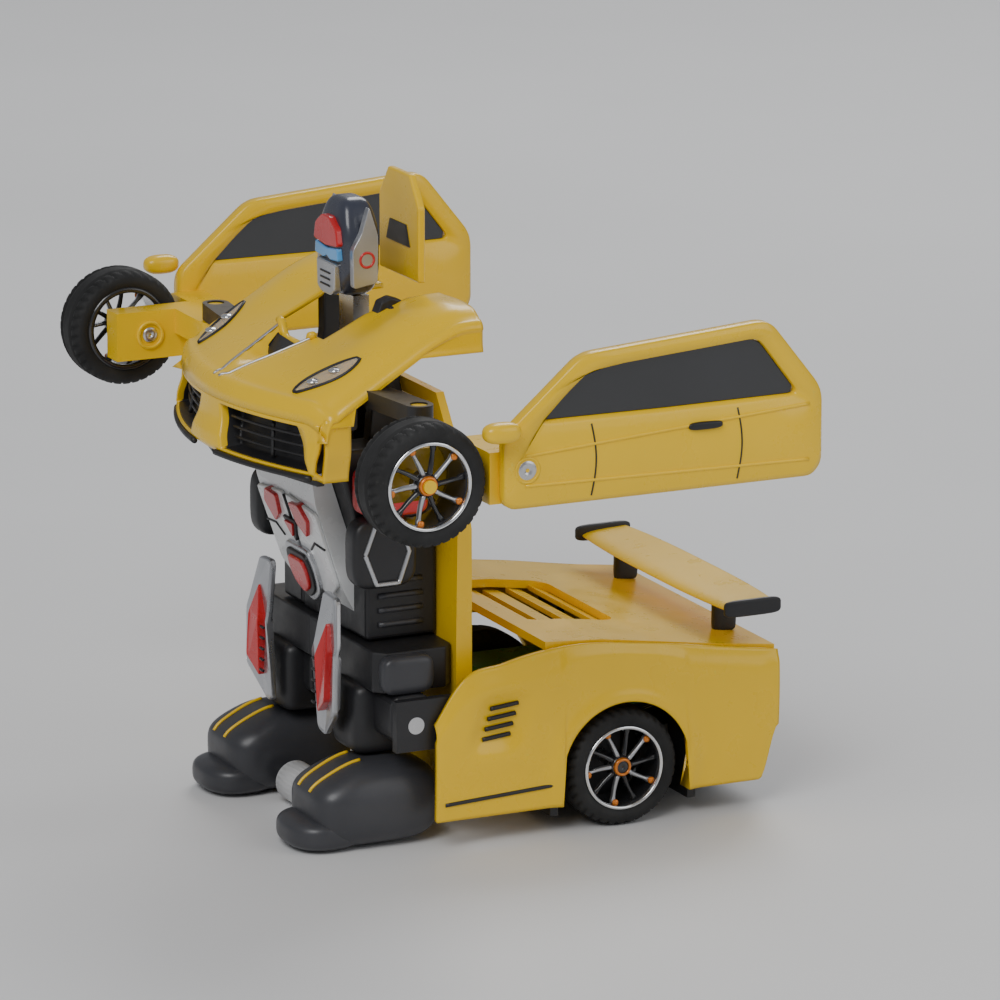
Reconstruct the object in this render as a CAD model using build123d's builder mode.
"""A toy sports car that folds into a standing robot, modelled in robot mode.

+Z is up, the robot faces -Y and its left side is +X. The rear half of the car stays on the ground
as the base. The torso turns a quarter about the hip line, the hood stays level on the shoulders,
and the front wheels swing in on links. The frame's origin is under the middle of the whole toy.
"""

import math
import os

from build123d import *

os.makedirs("parts", exist_ok=True)

# ---------------------------------------------------------------- driving dimensions, mm
body_half = 42.0  # half width of the hood and bumper
panel_out = 44.0  # outer face of the rear quarter panels
panel_wall = 3.6  # thickness of doors and quarter panels
wall = 2.0  # thickness of the moulded shells
torso_half = 24.0  # half width of the chest
hip_half = 37.5  # half width of the folding half at the hips
gap = 0.4  # clearance between pieces that move past each other
run_gap = 0.06  # radial clearance of a shaft in its hole

wheel_r = 14.0
wheel_width = 12.0
rim_r = 10.2
axle_r = 1.5
pin_r = 2.0

hip_y = -17.0  # the fold hinge
hip_z = 30.0
shoulder_y = -12.0  # the hinge that carries the hood
shoulder_z = 121.0

link_x = 27.0  # the wheel link's pivot on the hood, seen from above
link_y = -28.0
link_len = 31.3
link_rest = 7.0  # degrees back from straight out, in robot mode
link_turn = 120.0  # degrees it turns while the toy folds
link_z = 106.0
link_thick = 4.0

rear_axle_y = 35.0
base_front = 17.0
base_rear = 75.0
deck_z = 46.0
panel_front = -13.0
head_drop = 54.0

pieces = {}


def keep(node, part):
    """Labels a finished piece and files it under its node name."""
    part.label = node
    pieces[node] = part


def both(stem, left):
    """Files a left-hand piece and its mirror image."""
    keep(stem + "_left", left)
    keep(stem + "_right", mirror(left, about=Plane.YZ))


def block(x0, x1, y0, y1, z0, z1, radius=0.0):
    """A box between six planes, its upright edges rounded."""
    with BuildPart() as box:
        with BuildSketch(Plane.XY.offset(z0)):
            with Locations(((x0 + x1) / 2, (y0 + y1) / 2)):
                if radius:
                    RectangleRounded(x1 - x0, y1 - y0, radius)
                else:
                    Rectangle(x1 - x0, y1 - y0)
        extrude(amount=z1 - z0)
    return box.part


def across(outline, x0, x1):
    """A side outline of (y, z) points carried across from x0 to x1."""
    with BuildPart() as slab:
        with BuildSketch(Plane.YZ.offset(x0)):
            with BuildLine():
                Polyline(*outline, close=True)
            make_face()
        extrude(amount=x1 - x0)
    return slab.part


def rod(x0, x1, y, z, radius, bore=0.0):
    """A round bar or tube along X."""
    with BuildPart() as bar:
        with BuildSketch(Plane.YZ.offset(x0)):
            with Locations((y, z)):
                Circle(radius)
                if bore:
                    Circle(bore, mode=Mode.SUBTRACT)
        extrude(amount=x1 - x0)
    return bar.part


def post(x, y, z0, z1, radius, bore=0.0):
    """A round bar or tube along Z."""
    with BuildPart() as bar:
        with BuildSketch(Plane.XY.offset(z0)):
            with Locations((x, y)):
                Circle(radius)
                if bore:
                    Circle(bore, mode=Mode.SUBTRACT)
        extrude(amount=z1 - z0)
    return bar.part


def joined(*solids):
    """Solids that are moulded in one piece."""
    with BuildPart() as whole:
        for solid in solids:
            add(solid)
    return whole.part


def cut(solid, *tools):
    """A solid with others taken out of it."""
    with BuildPart() as rest:
        add(solid)
        for tool in tools:
            add(tool, mode=Mode.SUBTRACT)
    return rest.part


def group(*parts):
    """Separate solids that share one node."""
    return Compound([solid for part in parts for solid in part.solids()])


def pair(part):
    """A piece and its mirror image in one node."""
    return group(part, mirror(part, about=Plane.YZ))


# ---------------------------------------------------------------- wheels
def wheel(stem, side, x_in, y, z, spokes=10):
    """A tyre and a spoked rim on one axle; side is +1 on the robot's left, -1 on its right."""
    x_out = x_in + wheel_width
    with BuildPart() as tyre:
        with BuildSketch(Plane.YZ.offset(x_in)):
            with Locations((y, z)):
                Circle(wheel_r)
                Circle(rim_r, mode=Mode.SUBTRACT)
        extrude(amount=wheel_width)
        chamfer(tyre.edges().filter_by(GeomType.CIRCLE).sort_by(SortBy.RADIUS)[-2:], 1.2)
    hub = rod(x_in, x_out - 1.0, y, z, 3.4, axle_r + run_gap)
    with BuildPart() as rim:
        with BuildSketch(Plane.YZ.offset(x_in)):
            with Locations((y, z)):
                Circle(rim_r)
                Circle(rim_r - 1.2, mode=Mode.SUBTRACT)
        extrude(amount=wheel_width)
        with BuildSketch(Plane.YZ.offset(x_out - 4.0)):
            with Locations((y, z)):
                with PolarLocations((rim_r + 2.4) / 2, spokes):
                    Rectangle(rim_r - 2.6, 1.5)
        extrude(amount=2.5)
        add(hub)
    keep("tyre_" + stem, mirror(tyre.part, about=Plane.YZ) if side < 0 else tyre.part)
    keep("rim_" + stem, mirror(rim.part, about=Plane.YZ) if side < 0 else rim.part)


# ---------------------------------------------------------------- base: rear half of the car
inner = panel_out - panel_wall  # inside face of the quarter panels
floor_z = 4.0
rear_wheel_in = panel_out - wheel_width - 1.0

arch = rod(inner - 12.0, panel_out + 1.0, rear_axle_y, wheel_r, wheel_r + 2.0)
quarter_outline = [(panel_front, 7.0), (base_rear - 3.0, 7.0), (base_rear, 20.0), (base_rear, 38.0)]
quarter_outline += [(base_rear - 15.0, 40.0), (22.0, 45.0), (panel_front + 6.0, 40.0)]
quarter_outline += [(panel_front, 30.0)]
quarter = across(quarter_outline, inner, panel_out)
scoop = across([(-8.0, 20.0), (8.0, 26.0), (8.0, 36.0), (-4.0, 33.0)], inner + 2.0, panel_out + 1.0)
both("quarter_panel", cut(quarter, arch, scoop))
with BuildPart() as vent:
    for rise in (0.0, 3.2, 6.4):
        add(across([(2.0, 24.6 + rise), (7.6, 26.2 + rise), (7.6, 27.8 + rise), (2.0, 26.2 + rise)],
                   inner + 2.0, panel_out - 0.4))
keep("side_vents", pair(vent.part))

bracket_in = hip_half + 0.7
bracket = cut(
    joined(
        block(bracket_in, inner, hip_y - 5.0, panel_front + 12.0, hip_z - 6.0, hip_z + 6.0),
        block(bracket_in, inner, panel_front + 12.0, base_front + 4.0, hip_z - 10.0, hip_z + 6.0),
    ),
    rod(bracket_in - 1.0, inner + 1.0, hip_y, hip_z, pin_r),
)
keep("fold_brackets", pair(bracket))
keep("fold_pins", pair(rod(hip_half - 8.0, inner, hip_y, hip_z, pin_r)))

deck_outline = [(15.6, deck_z), (30.0, deck_z - 1.0), (60.0, 40.5), (base_rear, 38.6)]
deck_outline += [(base_rear, 36.6), (60.0, 38.5), (30.0, deck_z - 3.0), (15.6, deck_z - 2.0)]
deck_half = inner - 0.1
deck = across(deck_outline, -deck_half, deck_half)
glass_hole = block(-20.0, 20.0, 20.0, 44.0, 30.0, 60.0, 4.0)
louvre_pitch = 6.0
with BuildPart() as louvres:
    for n in range(4):
        y = 22.0 + n * louvre_pitch
        add(across([(y, 42.6 - 0.1 * n), (y + 4.0, 42.6 - 0.6 * n), (y + 4.0, 41.4 - 0.6 * n),
                    (y, 41.4 - 0.1 * n)], -20.0, 20.0))
keep("rear_deck", group(cut(deck, glass_hole), louvres.part))
floor = block(-30.0, 30.0, base_front, base_rear - 6.0, floor_z, floor_z + wall)
sump = block(-30.0, 30.0, base_front, base_front + wall, floor_z + wall, 8.8)
battery_y0 = 45.5
door_half = 27.0
door_hole = block(-door_half, door_half, battery_y0, base_rear - 9.0, floor_z - 1.0, floor_z + 3.0)
axle_holes = rod(-31.0, 31.0, rear_axle_y, wheel_r, axle_r + run_gap)
bearing = 2.0
with BuildPart() as bearings:
    for x in (-30.0, 30.0 - bearing):
        add(block(x, x + bearing, rear_axle_y - 5.0, rear_axle_y + 5.0, floor_z + wall, 20.0))
ribs = joined(
    block(30.0, deck_half, rear_axle_y + 17.5, rear_axle_y + 19.5, floor_z, 37.0),
    block(30.0, deck_half, base_front, base_front + wall, floor_z, 20.0),
)
keep("battery_door", block(-door_half + gap, door_half - gap, battery_y0 + gap,
                           base_rear - 9.0 - gap, floor_z, floor_z + 1.8))
tray_z = floor_z + wall + 0.4
cell_r = 5.1
tray_rear = base_rear - 6.2
cell_len = 44.0
keep("battery_tray", cut(
    block(-door_half, door_half, battery_y0, tray_rear, tray_z, tray_z + 12.0),
    block(-door_half + 1.0, door_half - 1.0, battery_y0 + 0.6, tray_rear - 0.6, tray_z - 1.0,
          tray_z + 10.8),
))
cells = [rod(-cell_len / 2, cell_len / 2, battery_y0 + 0.8 + cell_r + n * 2 * (cell_r + 0.3),
             tray_z + cell_r + 0.2, cell_r) for n in (0, 1)]
keep("battery_cells", group(*cells))
board_z = 24.0
board = block(-26.0, 26.0, base_front + 6.0, base_rear - 8.0, board_z, board_z + 1.6)
parts_on_board = [block(-8.0, 4.0, 38.0, 50.0, board_z + 1.6, board_z + 3.4),
                  block(10.0, 16.0, 30.0, 34.0, board_z + 1.6, board_z + 5.0)]
keep("circuit_board", group(board, *parts_on_board))
keep("speaker", post(0.0, 56.0, board_z + 3.6, board_z + 8.6, 9.0))
keep("tail_panel", joined(
    block(-deck_half, deck_half, base_rear - 1.0, base_rear + 1.0, 22.0, 36.4),
    block(-28.0, 28.0, base_rear - 5.8, base_rear - 1.0, 24.0, 26.0),
))
with BuildPart() as lamps:
    for x in (22.0, 32.0):
        with BuildSketch(Plane.XZ.offset(-base_rear - 1.0)):
            with Locations((x, 30.0), (-x, 30.0)):
                Circle(3.6)
        extrude(amount=-1.6)
keep("tail_lamps", lamps.part)
diffuser = across([(base_rear - 5.8, 5.0), (base_rear + 2.0, 10.0), (base_rear + 2.0, 21.6),
                         (base_rear - 0.6, 21.6), (base_rear - 0.6, 12.0), (base_rear - 5.8, 8.0)],
                  -33.0, 33.0)
with BuildPart() as tips:
    with BuildSketch(Plane.XZ.offset(-base_rear - 2.0)):
        with Locations((6.0, 15.0), (-6.0, 15.0)):
            Circle(3.0)
            Circle(2.2, mode=Mode.SUBTRACT)
    extrude(amount=-2.0)
keep("diffuser", group(diffuser, tips.part))
spoiler_wing = across([(62.0, 46.5), (77.0, 48.5), (77.0, 50.0), (62.0, 48.3)], -40.0, 40.0)
legs_out = [block(x - 1.2, x + 1.2, 66.0, 72.0, 39.0, 47.8) for x in (-26.0, 26.0)]
leg_cutter = across([(60.0, 30.0), (78.0, 30.0), (78.0, 38.6), (60.0, 40.6)], -40.0, 40.0)
keep("spoiler", cut(joined(spoiler_wing, *legs_out), leg_cutter))

rear_axle_span = rear_wheel_in + wheel_width - 2.0
keep("rear_axle", rod(-rear_axle_span, rear_axle_span, rear_axle_y, wheel_r, axle_r))
for stem, side in (("rear_left", 1), ("rear_right", -1)):
    wheel(stem, side, rear_wheel_in, rear_axle_y, wheel_r)

# ---------------------------------------------------------------- drive and switch
axle_teeth = 20
pinion_teeth = 10
gear_module = 0.8
mesh_gap = 0.12
gear_half = 1.5


def gear(teeth, x0, x1, y, z, bore, turn=0.0):
    """A spur gear along X: straight-flanked teeth on a root circle, the first tooth at angle turn."""
    pitch_r = gear_module * teeth / 2
    step = 2 * math.pi / teeth
    corners = []
    for n in range(teeth):
        for share, radius in ((-0.27, pitch_r - 1.15 * gear_module), (-0.20, pitch_r),
                              (-0.10, pitch_r + 0.8 * gear_module),
                              (0.10, pitch_r + 0.8 * gear_module), (0.20, pitch_r),
                              (0.27, pitch_r - 1.15 * gear_module)):
            angle = (n + share) * step + math.radians(turn)
            corners.append((y + radius * math.cos(angle), z + radius * math.sin(angle)))
    return cut(across(corners, x0, x1), rod(x0 - 1.0, x1 + 1.0, y, z, bore))


pinion_dist = gear_module * (axle_teeth + pinion_teeth) / 2 + mesh_gap
pinion_y = rear_axle_y - pinion_dist
gear_x = 18.0
keep("axle_gear", gear(axle_teeth, gear_x, gear_x + 2 * gear_half, rear_axle_y, wheel_r, axle_r))
shaft_r = 0.75
motor_r = 4.6
keep("drive_pinion", gear(pinion_teeth, gear_x, gear_x + 2 * gear_half, pinion_y, wheel_r,
                          shaft_r + run_gap, 180.0 / pinion_teeth))
motor_end = gear_x - 2.0
keep("drive_motor", joined(
    rod(motor_end - 22.0, motor_end, pinion_y, wheel_r, motor_r),
    rod(motor_end, gear_x + 2 * gear_half, pinion_y, wheel_r, shaft_r),
))
switch_z = floor_z
switch_travel = 3.0
keep("power_switch", joined(
    block(-22.0, -17.0, 24.0, 28.0, switch_z - 1.0, switch_z + wall + 0.6),
    block(-24.0, -15.0, 22.6, 29.4, switch_z + wall + 0.3, switch_z + wall + 1.5),
))
switch_slot = block(-22.4, -17.0 + switch_travel + 0.4, 23.6, 28.4, floor_z - 1.0, floor_z + wall + 0.2)
gear_slot = block(gear_x - 0.5, gear_x + 2 * gear_half + 0.5, 29.0, 41.0, floor_z - 1.0, floor_z + wall + 1.0)
keep("chassis_floor", cut(joined(floor, sump, bearings.part, ribs, mirror(ribs, about=Plane.YZ)),
                          door_hole, axle_holes, switch_slot, gear_slot))

# ---------------------------------------------------------------- torso, legs and feet
back_y = -4.0
cavity_half = 12.5
cavity = block(-cavity_half, cavity_half, -22.5, back_y + 1.0, 66.4, 130.0)
trunk_outline = [(-22.0, 46.0), (back_y, 46.0), (back_y, 77.0), (-5.8, 92.0), (-30.0, 92.0), (-22.0, 66.0)]
trunk = across(trunk_outline, -torso_half, torso_half)
hips = joined(
    block(-34.0, 34.0, -24.0, back_y, 36.0, 46.0),
    block(-hip_half, -8.0, -22.0, -12.0, 25.0, 36.0),
    block(8.0, hip_half, -22.0, -12.0, 25.0, 36.0),
)
yoke_in = 13.0
yoke_thick = 4.0
yoke_r = 4.0
yoke = joined(
    across([(-18.0, 91.0), (-6.0, 91.0), (-10.0, 105.0), (-9.0, 111.0), (shoulder_y + yoke_r, shoulder_z),
            (shoulder_y - yoke_r, shoulder_z), (-15.8, 112.0)], yoke_in, yoke_in + yoke_thick),
    rod(yoke_in, yoke_in + yoke_thick, shoulder_y, shoulder_z, yoke_r),
)
pin_holes = rod(-60.0, 60.0, shoulder_y, shoulder_z, pin_r + run_gap)
fold_holes = rod(-60.0, 60.0, hip_y, hip_z, pin_r + run_gap)
bar_half = 4.0
bar_y0 = -16.0
bar_y1 = -12.0
bar_slot = block(-bar_half - 0.1, bar_half + 0.1, bar_y0 - 0.1, bar_y1 + 0.1, 30.0, 70.0)
keep("torso_frame", cut(joined(trunk, hips, yoke, mirror(yoke, about=Plane.YZ)),
                        cavity, bar_slot, pin_holes, fold_holes))

plate = across([(-30.0, 91.0), (-33.6, 92.0), (-31.5, 78.0), (-24.6, 57.0), (-22.0, 52.0),
                (-22.0, 66.0)], -17.0, 17.0)
keep("chest_plate", plate)


def on_chest(outline, depth):
    """A flat shape stood on the leaning chest; its points are x and the distance up the chest."""
    lean = Plane(origin=(0, -24.6, 57.0), x_dir=(1, 0, 0), z_dir=(0, -21.0, -6.9))
    with BuildPart() as tile:
        with BuildSketch(lean):
            with BuildLine():
                Polyline(*outline, close=True)
            make_face()
        extrude(amount=depth)
    return tile.part


shield = on_chest([(-7.0, 17.0), (7.0, 17.0), (8.5, 12.0), (7.0, 5.0), (0.0, 1.0), (-7.0, 5.0),
                   (-8.5, 12.0)], 1.4)
keep("chest_crest", shield)
diamond = on_chest([(9.0, 19.0), (12.5, 14.0), (15.5, 19.0), (12.5, 21.6)], 1.0)
wedge = on_chest([(10.0, 3.0), (15.0, 3.0), (13.0, 11.0)], 1.0)
keep("chest_trim", group(pair(diamond), pair(wedge)))
side_arm = joined(
    block(torso_half, 33.0, -26.0, -10.0, 78.0, 88.0, 2.0),
    block(torso_half, 31.0, -30.0, -10.0, 60.0, 78.0, 2.0),
)
keep("side_arms", pair(side_arm))

leg = joined(
    across([(-26.0, 46.0), (back_y - 6.0, 46.0), (back_y - 6.0, 20.0), (-27.0, 20.0)], 12.0, 28.0),
)
leg = cut(leg, block(0.0, 40.0, -30.0, 10.0, 36.0, 47.0), block(0.0, 40.0, -22.4, -10.0, 24.6, 40.0))
keep("legs", pair(leg))
shin = across([(-26.0, 58.0), (-29.0, 56.0), (-31.0, 34.0), (-29.0, 22.6), (-27.0, 22.6),
               (-26.0, 36.0)], 13.0, 26.0)
shin = cut(shin, plate, leg)
keep("shin_covers", pair(shin))
foot_x = 25.0
foot_y = -23.0
with BuildPart() as foot:
    with BuildSketch(Plane.XY):
        with Locations((foot_x, foot_y)):
            RectangleRounded(24.0, 32.0, 8.0)
    extrude(amount=20.0)
    fillet(foot.faces().sort_by(Axis.Z)[-1].edges(), 6.5)
foot_part = foot.part
with BuildPart() as toe:
    for x in (foot_x - 6.5, foot_x + 6.5):
        with BuildSketch(Plane.XY):
            with Locations((x, -37.0)):
                RectangleRounded(11.0, 14.0, 5.0)
        extrude(amount=8.0)
    chamfer(toe.faces().sort_by(Axis.Z)[-1].edges(), 2.0)
keep("toes", pair(toe.part))

roof_outline = [(-0.4, 6.0), (0.0, 30.0), (0.0, 73.0), (-3.0, 92.0), (-7.0, 106.0), (-9.0, 106.0),
                (-5.0, 92.0), (-3.6, 73.0), (back_y, 46.0), (back_y, 34.0), (back_y, 6.0)]
roof_half = 34.0
roof = across(roof_outline, -roof_half, roof_half)
screen_hole = block(-26.0, 26.0, -12.0, 2.0, 78.0, 102.0, 0.0)
keep("roof_panel", cut(roof, screen_hole, block(-torso_half - 0.3, torso_half + 0.3, -30.0, -3.9, 40.0, 92.4)))
screen = across([(-1.4, 78.6), (-3.4, 92.0), (-6.0, 101.4), (-7.2, 101.4), (-4.6, 92.0),
                 (-2.4, 78.6)], -25.6, 25.6)
keep("windscreen", screen)

# ---------------------------------------------------------------- toe roller
roller_y = -26.0
roller_z = 5.0
keep("toe_roller", joined(
    rod(-9.0, 9.0, roller_y, roller_z, 4.8),
    rod(-12.5, 12.5, roller_y, roller_z, axle_r),
))
roller_holes = rod(-13.5, 13.5, roller_y, roller_z, axle_r + run_gap)
keep("feet", pair(cut(foot_part, toe.part, roller_holes)))

# ---------------------------------------------------------------- head
head_z = 123.0
keep("neck_bar", block(-bar_half, bar_half, bar_y0, bar_y1, head_z - head_drop - 8.0, head_z))
helmet = across([(-19.6, head_z), (-11.4, head_z), (-10.2, head_z + 8.0), (-11.0, head_z + 20.0),
                 (-14.0, head_z + 23.0), (-18.0, head_z + 21.0), (-20.2, head_z + 14.0)], -8.5, 8.5)
keep("head_helmet", helmet)
cheek = across([(-18.6, head_z + 2.0), (-11.2, head_z + 4.0), (-11.2, head_z + 19.0),
                (-16.0, head_z + 20.0)], 8.5, 10.6)
keep("ear_plates", pair(cheek))
face = across([(-19.0, head_z + 0.4), (-20.9, head_z + 2.0), (-21.5, head_z + 8.0),
               (-19.0, head_z + 8.0)], -5.5, 5.5)
keep("face_plate", cut(face, helmet))
visor = across([(-19.0, head_z + 8.4), (-21.6, head_z + 8.4), (-21.6, head_z + 12.0),
                (-19.0, head_z + 12.4)], -7.0, 7.0)
keep("visor", cut(visor, helmet))

# ---------------------------------------------------------------- front: hood and bumper
hood_rear = -0.6
outer = [(-50.5, 103.0), (-48.5, 106.5), (-36.0, 112.0), (-24.0, 117.5), (-14.0, 122.5),
         (-6.0, 125.5), (hood_rear, 125.5)]
under = [(hood_rear, 123.3), (-6.0, 123.3), (-13.4, 120.4), (-23.4, 115.6), (-35.4, 110.0),
         (-46.5, 105.0), (-46.5, 103.0)]
hood = across(outer + under, -body_half, body_half)
side_skin = across(outer + [(hood_rear, 112.0), (-50.5, 98.0)], body_half - wall, body_half)
arch_y = wheel_r + 2.0
front_wheel_y = -16.0
front_wheel_z = 100.0
arch_cut = joined(
    rod(body_half - wall - 1.0, body_half + 1.0, front_wheel_y, front_wheel_z, arch_y),
    rod(body_half - wall - 1.0, body_half + 1.0, front_wheel_y + 7.0, front_wheel_z, arch_y),
    block(body_half - wall - 1.0, body_half + 1.0, front_wheel_y, 5.0, 80.0,
          front_wheel_z + arch_y),
    block(body_half - wall - 1.0, body_half + 1.0, link_y - 5.0, front_wheel_y, 80.0,
          link_z + link_thick + gap),
)
side_skin = cut(side_skin, arch_cut)
hood_hole = block(-yoke_in, yoke_in, -28.0, -3.2, 100.0, 140.0)
ear_in = yoke_in + yoke_thick + gap
ear = joined(
    across([(shoulder_y - 5.0, 123.0), (shoulder_y + 5.0, 123.6), (shoulder_y + 4.0, shoulder_z),
            (shoulder_y - 4.0, shoulder_z)], ear_in, ear_in + 3.0),
    rod(ear_in, ear_in + 3.0, shoulder_y, shoulder_z, 4.0),
)
above = across([(-60.0, 100.0)] + outer + [(20.0, 125.5), (20.0, 150.0), (-60.0, 150.0)], -60.0, 60.0)
ear = cut(ear, above)
shoulder_hole = rod(-60.0, 60.0, shoulder_y, shoulder_z, pin_r)
yoke_room = joined(
    block(yoke_in - gap, ear_in - 0.01, shoulder_y - yoke_r - 1.0, hood_rear + 1.0, 110.0,
          shoulder_z + yoke_r + 0.5),
)
lamp_pocket = across([(-45.5, 108.5), (-33.0, 114.4), (-33.0, 119.4), (-45.5, 119.4)], 30.0, 39.0)
keep("hood_shell", cut(
    joined(hood, side_skin, mirror(side_skin, about=Plane.YZ), ear, mirror(ear, about=Plane.YZ)),
    hood_hole, shoulder_hole, yoke_room, mirror(yoke_room, about=Plane.YZ),
    lamp_pocket, mirror(lamp_pocket, about=Plane.YZ),
))
keep("shoulder_pins", pair(rod(yoke_in + 0.4, ear_in + 3.0, shoulder_y, shoulder_z, pin_r)))

bumper = across([(-52.0, 90.0), (-52.0, 99.0), (-50.5, 103.0), (-46.5, 103.0), (-46.5, 105.0),
                 (-42.0, 106.8), (-39.0, 106.8), (-39.0, 89.0), (-48.0, 88.0)],
                -body_half + wall, body_half - wall)
intake = block(8.0, 36.0, -55.0, -44.0, 91.0, 101.0, 2.0)
post_z0 = 98.0
link_boss = joined(
    post(link_x, link_y, post_z0, link_z - 0.3, 3.4),
    block(link_x - 3.0, link_x + 3.4, -40.0, link_y, post_z0, post_z0 + 5.0),
    post(link_x, link_y, link_z - 0.3, link_z + link_thick - 0.4, pin_r),
)
keep("front_bumper", cut(joined(bumper, link_boss, mirror(link_boss, about=Plane.YZ)),
                         intake, mirror(intake, about=Plane.YZ)))
with BuildPart() as mesh:
    for n in range(4):
        add(block(8.0, 36.0, -47.4, -46.0, 91.6 + 2.6 * n, 92.8 + 2.6 * n))
    add(block(21.0, 23.0, -47.4, -46.0, 91.0, 101.0))
keep("intake_grilles", pair(mesh.part))
lamp = across([(-45.5, 108.5), (-33.0, 114.4), (-33.4, 115.3), (-45.9, 109.6)], 30.0, 39.0)
keep("headlamps", pair(lamp))

flap_y = -1.8
flap_z = 126.6
flap_len = 24.0
flap_half = 11.0
flap = joined(
    block(-flap_half, flap_half, flap_y - 0.8, flap_y + 0.8, flap_z, flap_z + flap_len),
    rod(-flap_half, flap_half, flap_y, flap_z, 0.9),
)
keep("hood_flap", flap)

# ---------------------------------------------------------------- arms on their links
fold_rad = math.radians(link_rest + link_turn)
rest_rad = math.radians(link_rest)
stow_x = link_x + link_len * math.cos(fold_rad)
stow_y = link_y + link_len * math.sin(fold_rad)
out_x = link_len * (math.cos(rest_rad) - math.cos(fold_rad))
out_y = link_len * (math.sin(rest_rad) - math.sin(fold_rad))
elbow_x = stow_x + out_x
elbow_y = stow_y + out_y


def swung_out(part):
    """An arm piece moved from its place beside the hood to its place in robot mode."""
    return part.moved(Location((out_x, out_y, 0)))


with BuildPart() as link:
    with BuildSketch(Plane.XY.offset(link_z)):
        with BuildLine():
            Line((link_x, link_y), (elbow_x, elbow_y))
        make_hull([*Edge.make_circle(3.2, Plane((link_x, link_y))).edges(),
                   *Edge.make_circle(3.2, Plane((elbow_x, elbow_y))).edges()])
    extrude(amount=link_thick)
link_holes = joined(
    post(link_x, link_y, link_z - 1.0, link_z + link_thick + 1.0, pin_r + run_gap),
    post(elbow_x, elbow_y, link_z - 1.0, link_z + link_thick + 1.0, pin_r + run_gap),
)
both("wheel_link", cut(link.part, link_holes))

bar_top = link_z - 0.3
door_in = inner + gap
frame_solid = joined(
    block(stow_x - 3.4, 30.4, stow_y - 4.0, stow_y + 4.0, bar_top - 6.0, bar_top, 3.0),
    block(24.0, 30.4, -22.0, stow_y + 4.0, 94.0, bar_top),
    block(24.0, door_in, -1.0, 7.0, 94.0, bar_top),
    post(stow_x, stow_y, bar_top, link_z + link_thick - 0.4, pin_r),
    rod(30.4, 42.6, front_wheel_y, front_wheel_z, axle_r),
)
both("arm_frame", swung_out(frame_solid))
door_y0 = 1.0
door_y1 = 79.5
door_out = door_in + panel_wall
door_outline = [(door_y0, 93.0), (door_y1, 93.0), (door_y1, 113.0), (66.0, 130.0), (20.0, 126.5),
                (door_y0, 110.0)]
window_outline = [(9.0, 112.0), (74.0, 112.0), (63.5, 126.4), (22.0, 123.2)]
window_hole = across(window_outline, door_in - 1.0, door_out + 1.0)
mirror_arm = joined(
    block(door_out, door_out + 5.0, -6.0, door_y0 + 4.0, 109.0, 114.0, 1.6),
)
screw_recess = rod(door_out - 1.6, door_out + 1.0, 6.0, 101.5, 2.6)
door = cut(joined(across(door_outline, door_in, door_out), mirror_arm), window_hole, screw_recess)
both("door", swung_out(door))
both("door_window", swung_out(across(window_outline, door_in + 0.8, door_in + 2.2)))
for stem, side in (("front_left", 1), ("front_right", -1)):
    wheel(stem, side, body_half - wheel_width + 1.0 + out_x, front_wheel_y + out_y, front_wheel_z)

# ---------------------------------------------------------------- the files
middle = group(*pieces.values()).bounding_box().center().Y
for node, part in pieces.items():
    placed = part.moved(Location((0, -middle, 0)))
    placed.label = node
    export_step(placed, "parts/" + node + ".step")
